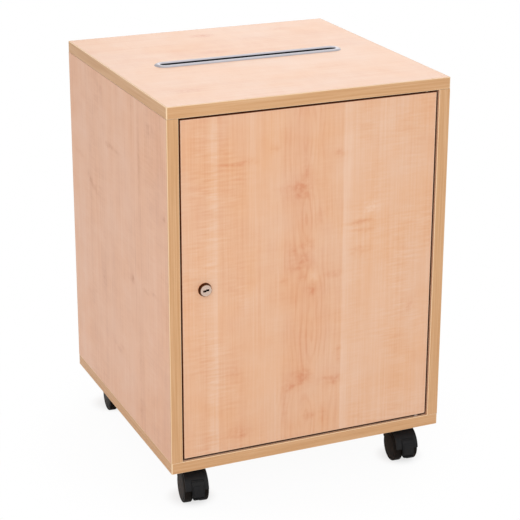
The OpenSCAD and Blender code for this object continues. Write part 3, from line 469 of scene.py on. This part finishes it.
def metal(name, colour, roughness, grit, streak=(1.0, 1.0, 1.0), contrast=0.06, paintedZones=None, slit=None):
    # grit is the pattern's grain size in mm and streak stretches it. The depth bands give an axis, where they start,
    # how many mm they cover and the colours at so many mm, which multiply the grain: painted light and shade by
    # depth.
    # slit gives a long hole's half length, middle y, reach and the colour of the painted shade inside it
    material, tree, shader = startMaterial(name, Metallic=1.0)
    coords = addNode(tree, "ShaderNodeTexCoord")
    at = addNode(tree, "ShaderNodeMapping", inputs={
        "Vector": coords.outputs["Object"], "Scale": [s * 1000 / grit for s in streak]})
    grain = addNode(tree, "ShaderNodeTexNoise", inputs={
        "Vector": at.outputs[0], "Scale": 1.0, "Detail": 3.0}).outputs["Fac"]
    base = np.array(linear(colour)[:3])
    dark, light = (tuple(np.clip(base * (1 + s), 0, 1).tolist()) for s in (-contrast, contrast))
    colour = addNode(tree, "ShaderNodeValToRGB", {"stops": [
        (0.3, dark), (0.7, light)]}, {"Fac": grain}).outputs["Color"]
    xyz = addNode(tree, "ShaderNodeSeparateXYZ", inputs={0: coords.outputs["Object"]})
    # painted light and shade: colours by depth along the axis
    if paintedZones:
        deep = addNode(tree, "ShaderNodeMapRange", inputs={
            "Value": xyz.outputs[paintedZones["axis"]], "From Min": paintedZones["start"],
            "From Max": paintedZones["start"] + paintedZones["cover"] / 1000})
        zone = addNode(tree, "ShaderNodeValToRGB", {"stops": [
            (mm / paintedZones["cover"], c) for mm, c in paintedZones["colours"]]}, {"Fac": deep.outputs[0]})
        colour = addNode(tree, "ShaderNodeVectorMath", {"operation": "MULTIPLY"}, {
            0: colour, 1: zone.outputs["Color"]}).outputs[0]
    if slit:  # distance from the hole's middle line, which ends halfRun from the middle
        past = addNode(tree, "ShaderNodeMath", {"operation": "ABSOLUTE"}, {0: xyz.outputs[0]})
        past = addNode(tree, "ShaderNodeMath", {"operation": "SUBTRACT"}, {0: past.outputs[0], 1: slit["halfRun"]})
        past = addNode(tree, "ShaderNodeMath", {"operation": "MAXIMUM"}, {0: past.outputs[0], 1: 0.0})
        aside = addNode(tree, "ShaderNodeMath", {"operation": "SUBTRACT"}, {0: xyz.outputs[1], 1: slit["middle"]})
        away = addNode(tree, "ShaderNodeCombineXYZ", inputs={0: past.outputs[0], 1: aside.outputs[0]})
        away = addNode(tree, "ShaderNodeVectorMath", {"operation": "LENGTH"}, {0: away.outputs[0]})
        within = addNode(tree, "ShaderNodeMapRange", inputs={
            "Value": away.outputs["Value"], "From Min": slit["reach"] + slit["soft"],
            "From Max": slit["reach"] - slit["soft"]})
        # painted shade: near the hole's middle line the colour goes to the dark one
        colour = addNode(tree, "ShaderNodeMix", {"data_type": "RGBA"}, {
            0: within.outputs[0], 6: colour, 7: slit["colour"]}).outputs[2]
    tree.links.new(colour, shader.inputs["Base Color"])
    rough = addNode(tree, "ShaderNodeMapRange", inputs={
        "Value": grain, "To Min": roughness - 0.06, "To Max": roughness + 0.06})
    tree.links.new(rough.outputs[0], shader.inputs["Roughness"])
    bump = addNode(tree, "ShaderNodeBump", inputs={"Height": grain, "Strength": 0.15, "Distance": 0.0001})
    tree.links.new(bump.outputs[0], shader.inputs["Normal"])
    return material


# Slot trim: pressed aluminium, satin anodised, so its lip has a soft grey sheen; the collar inside it is painted near
# black, a painted shade inside the slot
trim = {"colour": "#a5a2a7", "collar": "#191c22", "width": 0.032, "reach": 0.0074, "soft": 0.0003, "aside": -0.0006}
low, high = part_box("slot_trim")
paint(metal("satin anodised aluminium", trim["colour"], 0.35, 0.5, (0.05, 1.0, 1.0), contrast=0.04, slit={
    "halfRun": (high.x - low.x - trim["width"]) / 2, "middle": (low.y + high.y) / 2 + trim["aside"],
    "reach": trim["reach"], "soft": trim["soft"], "colour": trim["collar"]}), "slot_trim")

# Lock: die cast and nickel plated. Its colour is painted by depth: plain on its face, a painted shade and dark
# reflection on the chamfer and side, and a painted glint on the flange behind
lock = {
    "colour": "#d6bfb0", "depth": 10,   # mm behind the face that the colours below cover
    # plain face, painted shade and dark reflection down the chamfer and side, painted glint on the flange
    "paintedZones": [(0.0, "#ffffff"), (0.06, "#ffffff"), (0.1, "#a5907f"), (0.65, "#7d6450"), (0.8, "#5c3f28"),
              (4.9, "#5c3f28"), (5.3, "#f4e4d2")],
}
paint(metal("nickel plate, die cast", lock["colour"], 0.3, 0.4, paintedZones={
    "axis": 1, "start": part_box("lock_barrel")[0].y, "cover": lock["depth"], "colours": lock["paintedZones"]}),
    "lock_barrel", "lock_plug")

# Zinc plate on pressed steel: cool and faintly mottled. Turned steel: clean and sharp. Turned brass: warm
fittings = {"zinc": "#c9cccb", "steel": "#bfc1c3", "brass": "#cfae68"}
paint(metal("bright zinc plate on steel", fittings["zinc"], 0.34, 1.2, contrast=0.1),
      *[n for n in nodes if n.startswith("castor_plate")], "cam_fittings", "lock_nut", "lock_cam",
      "strike_bracket", "sack_hooks", "sack_eyelets")
paint(metal("turned bright steel", fittings["steel"], 0.22, 0.3, (1.0, 1.0, 0.2)),
      *[n for n in nodes if n.startswith("axle")], "pivot_pin_lower", "pivot_pin_upper", "pivot_thumb_screw",
      "lock_cam_screw", "fixing_screws", "castor_screws")
paint(metal("turned brass", fittings["brass"], 0.25, 0.3), "pivot_bush_lower", "pivot_bush_upper", "pivot_sleeve")
print("metals finished")


def moulded(name, colour, roughness, grit, gloss=0.5):  # an even grain, grit in millimetres, darker in its hollows
    material, tree, shader = startMaterial(name, IOR=1.53, Specular_IOR_Level=gloss)
    coords = addNode(tree, "ShaderNodeTexCoord")
    at = addNode(tree, "ShaderNodeMapping", inputs={"Vector": coords.outputs["Object"], "Scale": [1000 / grit] * 3})
    grain = addNode(tree, "ShaderNodeTexNoise", inputs={
        "Vector": at.outputs[0], "Scale": 1.0, "Detail": 2.0}).outputs["Fac"]
    base = np.array(linear(colour)[:3])
    tint = addNode(tree, "ShaderNodeValToRGB", {"stops": [
        (0.3, tuple((base * 0.8).tolist())), (0.7, tuple((base * 1.25).tolist()))]}, {"Fac": grain})
    # painted shade: the grain's colour is darkened in the hollows, where other surfaces stand close
    hollowShade = addNode(tree, "ShaderNodeAmbientOcclusion", {"samples": 12}, {
        "Color": tint.outputs["Color"], "Distance": jointShade["reach"]})
    tree.links.new(hollowShade.outputs["Color"], shader.inputs["Base Color"])
    rough = addNode(tree, "ShaderNodeMapRange", inputs={
        "Value": grain, "To Min": roughness - 0.05, "To Max": roughness + 0.07})
    tree.links.new(rough.outputs[0], shader.inputs["Roughness"])
    bump = addNode(tree, "ShaderNodeBump", inputs={"Height": grain, "Strength": 0.2, "Distance": 0.0002})
    tree.links.new(bump.outputs[0], shader.inputs["Normal"])
    return material


# Castors: injection-moulded nylon, which the spark-eroded mould leaves matt. Dowels: beech, pale and even
mouldings = {"nylon": "#1f1f20", "tyre": "#181411", "beech": "#d8bd95"}
nylon = moulded("black nylon, spark-eroded", mouldings["nylon"], 0.40, 0.6, gloss=0.10)
tyre = moulded("black nylon wheel", mouldings["tyre"], 0.38, 0.9, gloss=0.05)
paint(nylon, *[n for n in nodes if n.startswith(("castor_hood", "brake_pedal", "door_stops"))])
paint(tyre, *[n for n in nodes if n.startswith("wheel")])
paint(moulded("beech dowel", mouldings["beech"], 0.6, 0.8), "dowels")
print("plastics finished")


# Sack of woven polypropylene, sewn to a box shape with a hem, hung by four eyelets. Sizes in metres
sack = {
    "halfWidth": 0.187, "halfDepth": 0.159, "middleY": 0.022, "corner": 0.030,
    "rim": 0.5945, "floor": 0.0875, "turn": 0.026,       # rim height, floor height, radius where wall meets floor
    "hookY": 0.110, "eyeletZ": 0.5811, "hole": 0.0056,   # hooks before and behind the middle; an eyelet's hole
    "sideFrom": 0.17,                                    # cloth further out than this is a side wall
    "longSag": 0.022, "shortSag": 0.007,                 # how far the rim drops between hooks
    "longSpan": 0.3,                                     # a span longer than this has the long sag
    "fold": 0.0055, "thickness": 0.0011, "hem": 0.028,
    "folds": ((9, 0.5), (17, 0.55), (26, 0.35), (41, 0.18)), "seed": 7,   # waves round the sack, and their size
    "columns": 220, "wallRows": 66, "turnRows": 8, "floorRows": 20,
    "crumple": 0.0016, "swell": 0.0018,                  # the floor's waves, and how far it stands up
    "tape": 0.0026, "stitch": 0.006, "thread": 0.0011,   # tape width, stitch pitch, half a thread's width
    # soiled is the colour's dark end: dirt, and painted shade between the tapes
    "soiledAndShaded": "#a29b88", "cloth": "#d6d1c2", "clean": "#eeebe1",
}


def roundedLoop(halfWidth, halfDepth, corner, s):
    # s is distance round a rectangle with round corners, anticlockwise from the middle of the right side;
    # gives the point and the outward normal there, read off a fine polyline by length
    angle = np.linspace(0, np.pi / 2, 24)
    xs, ys, nx, ny = [halfWidth], [0.0], [1.0], [0.0]
    for k, (sx, sy) in enumerate(((1, 1), (-1, 1), (-1, -1), (1, -1))):
        turn = angle + k * np.pi / 2
        xs.extend(sx * (halfWidth - corner) + corner * np.cos(turn))
        ys.extend(sy * (halfDepth - corner) + corner * np.sin(turn))
        nx.extend(np.cos(turn))
        ny.extend(np.sin(turn))
    xs, ys, nx, ny = (np.append(q, q[0]) for q in (xs, ys, nx, ny))
    length = np.append(0, np.cumsum(np.hypot(np.diff(xs), np.diff(ys))))
    at = np.mod(s, 1.0) * length[-1]
    return [np.interp(at, length, q) for q in (xs, ys, nx, ny)] + [length[-1]]


def sackSurface(p):
    # A grid: columns go round the sack, rows go from the rim down the wall, round the bottom turn and in
    # to the middle of the floor. The wall hangs as a soft loop; between hooks the rim sags as a parabola,
    # and folds, which are sums of sines in the distance round, press the cloth inwards away from the hooks.
    fine = np.linspace(0, 1, 4001)
    x, y, nx, ny, around = roundedLoop(p["halfWidth"], p["halfDepth"], p["corner"], fine)
    hooks = np.sort([fine[np.argmin(np.hypot(x - sx * p["halfWidth"], y - sy * p["hookY"]))]
                     for sx in (-1, 1) for sy in (-1, 1)])

    # columns and rows stand closer together round the eyelets
    close = np.linspace(-0.010, 0.010, 13) / around
    even = np.linspace(0, 1, p["columns"] + 1)[:-1]
    s = np.unique(np.round(np.concatenate([even] + [np.mod(h + close, 1.0) for h in hooks]), 5))
    wallTop = np.concatenate([np.linspace(0, 0.003, 3), np.linspace(0.0045, 0.024, 15), np.linspace(0.028, 0.045, 5)])
    wallLength = p["rim"] - p["floor"] - p["turn"]
    down = np.concatenate([wallTop, np.linspace(0.05, wallLength, p["wallRows"])])
    turn = np.linspace(0, np.pi / 2, p["turnRows"] + 1)[1:]
    inward = np.linspace(0, 1, p["floorRows"] + 2)[1:-1]

    x, y, nx, ny, _ = roundedLoop(p["halfWidth"], p["halfDepth"], p["corner"], s)
    span = np.searchsorted(hooks, s) % 4
    start, end = hooks[(span - 1) % 4], hooks[span]
    width = np.mod(end - start, 1.0)
    q = np.mod(s - start, 1.0) / width
    away = 4 * q * (1 - q)                                   # 0 at a hook, 1 half-way between two
    sag = np.where(width * around > p["longSpan"], p["longSag"], p["shortSag"]) * away
    random = np.random.default_rng(p["seed"])
    folds = np.zeros((len(down), len(s)))
    depth = (down / wallLength)[:, None]
    for waves, size in p["folds"]:
        phase, drift = random.uniform(0, 2 * np.pi), random.uniform(-1.6, 1.6)
        folds += size * np.sin(2 * np.pi * waves * s[None, :] + phase + drift * depth * 2)
    folds = 0.5 + 0.5 * np.tanh(folds)
    grown = np.clip(depth * 3.2, 0, 1) * (0.55 + 0.45 * depth)
    free = np.clip(away * 3, 0, 1)[None, :]                  # 0 at a hook, which holds the cloth flat
    hold = free * np.clip(depth * 14, 0, 1) + (1 - free) * np.clip(depth * 4 - 0.3, 0, 1)
    press = folds * grown + 0.7 * away[None, :] * np.exp(-depth * 9)
    press = p["fold"] * press * np.maximum(hold, away[None, :] * 0.6)
    droop = sag[None, :] * np.exp(-depth * 2.2)
    wall = np.stack([x - nx * press, p["middleY"] + y - ny * press,
                     p["rim"] - down[:, None] - droop * (1 - depth)], -1)
    bend = turn[:, None]
    pull = press[-1] + p["turn"] * (1 - np.cos(bend))
    bottomTurn = np.stack([x - nx * pull, p["middleY"] + y - ny * pull,
                           p["floor"] + p["turn"] * (1 - np.sin(bend)) + 0 * x], -1)
    edge = bottomTurn[-1]
    k = inward[:, None]
    crumple = np.sin(110 * edge[:, 0] * (1 - k) + 3 * k) * np.sin(130 * edge[:, 1] * (1 - k) + 1.0)
    crumple = p["crumple"] * crumple * np.sin(np.pi * k)
    bottom = np.stack([edge[:, 0] * (1 - k), p["middleY"] + (edge[:, 1] - p["middleY"]) * (1 - k),
                       p["floor"] + p["swell"] * (1 - (1 - k) ** 6) + crumple], -1)
    below = np.concatenate([down, wallLength + p["turn"] * turn,
                            wallLength + p["turn"] * np.pi / 2 + inward * p["halfDepth"]])
    return np.concatenate([wall, bottomTurn, bottom]), s * around, below


points, alongRim, belowRim = sackSurface(sack)
rowCount, columnCount = points.shape[:2]
flat = points.reshape(-1, 3)
eyelets = [(sx, sack["middleY"] + sy * sack["hookY"]) for sx in (-1, 1) for sy in (-1, 1)]
for sx, eyeletY in eyelets:  # round holes for the eyelets: near points are pushed out to the hole's edge
    centre = np.array([eyeletY, sack["eyeletZ"]])
    gap = flat[:, 1:] - centre
    reach = np.hypot(*gap.T)
    inside = (reach < sack["hole"]) & (flat[:, 0] * sx > sack["sideFrom"])
    grow = sack["hole"] / np.maximum(reach[inside], 1e-5)
    flat[inside, 1:] = centre + gap[inside] * grow[:, None]
r0, c0 = np.meshgrid(np.arange(rowCount - 1), np.arange(columnCount), indexing="ij")
r1, c1 = r0 + 1, (c0 + 1) % columnCount
quads = np.stack([r * columnCount + c for r, c in ((r0, c0), (r1, c0), (r1, c1), (r0, c1))], -1).reshape(-1, 4)
middle = flat[quads].mean(1)
keep = np.ones(len(quads), bool)
for sx, eyeletY in eyelets:  # and the faces that are left inside a hole go
    reach = np.hypot(middle[:, 1] - eyeletY, middle[:, 2] - sack["eyeletZ"])
    keep &= ~((reach < sack["hole"] * 0.93) & (middle[:, 0] * sx > sack["sideFrom"]))
quads = quads[keep]
hub = len(flat)
flat = np.vstack([flat, points[-1].mean(0)])
ring = (rowCount - 1) * columnCount + np.arange(columnCount)
fan = np.stack([ring, np.full(columnCount, hub), np.roll(ring, -1)], -1)
sackMesh = bpy.data.meshes.new("sack")
sackMesh.from_pydata(flat.tolist(), [], quads.tolist() + fan.tolist())
sackMesh.validate()

# UV in metres: round the sack, and down from the rim. A face across the seam takes its far side from past the end
uv = sackMesh.uv_layers.new(name="cloth")
corner = np.zeros(len(sackMesh.loops), int)
sackMesh.loops.foreach_get("vertex_index", corner)
roundAt = alongRim[corner % columnCount]
downAt = belowRim[np.minimum(corner // columnCount, rowCount - 1)]
first = np.zeros(len(sackMesh.polygons), int)
sackMesh.polygons.foreach_get("loop_start", first)
total = np.zeros(len(sackMesh.polygons), int)
sackMesh.polygons.foreach_get("loop_total", total)
spread = np.maximum.reduceat(roundAt, first) - np.minimum.reduceat(roundAt, first)
seam = np.repeat(spread > 0.5, total) & (roundAt < 0.3)
roundAt = np.where(seam, roundAt + alongRim[-1] + (alongRim[1] - alongRim[0]), roundAt)
uv.data.foreach_set("uv", np.stack([roundAt, downAt], -1).ravel())
sackMesh.polygons.foreach_set("use_smooth", np.ones(len(sackMesh.polygons), bool))
sackPiece = bpy.data.objects.new("collection_sack", sackMesh)
scene.collection.objects.link(sackPiece)
thick = sackPiece.modifiers.new("cloth thickness", "SOLIDIFY")
thick.thickness, thick.offset = sack["thickness"], 0

# Woven polypropylene: flat tapes 2.6 mm wide, over one and under one, with a slight plastic sheen
material, tree, shader = startMaterial("woven polypropylene sacking", IOR=1.49, Roughness=0.5, Sheen_Weight=0.1)
coords = addNode(tree, "ShaderNodeTexCoord")
weave = addNode(tree, "ShaderNodeSeparateXYZ", inputs={0: coords.outputs["UV"]})
crowns = []
for axis in (0, 1):
    phase = addNode(tree, "ShaderNodeMath", {"operation": "MULTIPLY"}, {
        0: weave.outputs[axis], 1: math.pi / sack["tape"]})
    wave = addNode(tree, "ShaderNodeMath", {"operation": "SINE"}, {0: phase.outputs[0]})
    crowns.append(addNode(tree, "ShaderNodeMath", {"operation": "ABSOLUTE"}, {0: wave.outputs[0]}).outputs[0])
checker = addNode(tree, "ShaderNodeTexChecker", inputs={"Vector": coords.outputs["UV"], "Scale": 1 / sack["tape"]})
height = addNode(tree, "ShaderNodeMix", {"data_type": "FLOAT"}, {
    0: checker.outputs["Fac"], 2: crowns[0], 3: crowns[1]}).outputs[0]
soil = addNode(tree, "ShaderNodeTexNoise", inputs={
    "Vector": coords.outputs["Object"], "Scale": 9.0, "Detail": 4.0}).outputs["Fac"]
stitch = addNode(tree, "ShaderNodeMath", {"operation": "SUBTRACT"}, {0: weave.outputs[1], 1: sack["hem"]})
stitch = addNode(tree, "ShaderNodeMath", {"operation": "ABSOLUTE"}, {0: stitch.outputs[0]})
stitch = addNode(tree, "ShaderNodeMath", {"operation": "LESS_THAN"}, {0: stitch.outputs[0], 1: sack["thread"]})
dash = addNode(tree, "ShaderNodeMath", {"operation": "MULTIPLY"}, {0: weave.outputs[0], 1: math.pi / sack["stitch"]})
dash = addNode(tree, "ShaderNodeMath", {"operation": "SINE"}, {0: dash.outputs[0]})
dash = addNode(tree, "ShaderNodeMath", {"operation": "GREATER_THAN"}, {0: dash.outputs[0], 1: -0.4})
stitch = addNode(tree, "ShaderNodeMath", {"operation": "MULTIPLY"}, {0: stitch.outputs[0], 1: dash.outputs[0]})
# lightness: painted shade at the edges of the tapes, darker with soil and along the stitching
shade = 0.1
for part, weight in ((height, 0.45), (soil, 0.6), (stitch.outputs[0], -0.5)):
    shade = addNode(tree, "ShaderNodeMath", {"operation": "MULTIPLY_ADD"}, {0: part, 1: weight, 2: shade}).outputs[0]
colour = addNode(tree, "ShaderNodeValToRGB", {"stops": [
    (0.1, sack["soiledAndShaded"]), (0.5, sack["cloth"]), (0.9, sack["clean"])]}, {"Fac": shade})
tree.links.new(colour.outputs["Color"], shader.inputs["Base Color"])
bump = addNode(tree, "ShaderNodeBump", inputs={"Height": height, "Strength": 0.5, "Distance": 0.0003})
tree.links.new(bump.outputs[0], shader.inputs["Normal"])
sackMesh.materials.append(material)
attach(sackPiece, "cabinet")
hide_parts("sack")
print("sack hung:", len(quads), "faces")

# Mouldings: copies of the CAD solids with doubles merged, flat faces joined and arrises rounded
softness = {
    "castor_hood": 0.0006, "brake_pedal": 0.0006, "wheel": 0.0005,   # metres rounded off
    "doubles": 2e-6, "flat": 0.4, "arris": 30, "segments": 3,        # metres, and degrees of a flat face and an arris
}


def softened(node, width, material):
    mesh = nodes[node].data.copy()
    bm = bmesh.new()
    bm.from_mesh(mesh)
    bmesh.ops.remove_doubles(bm, verts=bm.verts, dist=softness["doubles"])
    bmesh.ops.dissolve_limit(bm, angle_limit=math.radians(softness["flat"]), verts=bm.verts, edges=bm.edges)
    bm.to_mesh(mesh)
    bm.free()
    mesh.materials.clear()
    mesh.materials.append(material)
    mesh.polygons.foreach_set("use_smooth", np.ones(len(mesh.polygons), bool))
    piece = bpy.data.objects.new("soft_" + node, mesh)
    scene.collection.objects.link(piece)
    rounded = piece.modifiers.new("arris", "BEVEL")
    rounded.width, rounded.segments = width, softness["segments"]
    rounded.limit_method, rounded.angle_limit = "ANGLE", math.radians(softness["arris"])
    rounded.use_clamp_overlap = True
    smooth = piece.modifiers.new("shading", "WEIGHTED_NORMAL")
    smooth.keep_sharp = False
    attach(piece, bodyOf[node])
    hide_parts(node)


for node in nodes:
    for kind, material, slot in (("castor_hood", nylon, "castor_nylon"), ("brake_pedal", nylon, "castor_nylon"),
                                 ("wheel", tyre, "castor_wheel")):
        if node.startswith(kind):
            softened(node, softness[kind], material)
print("mouldings softened")
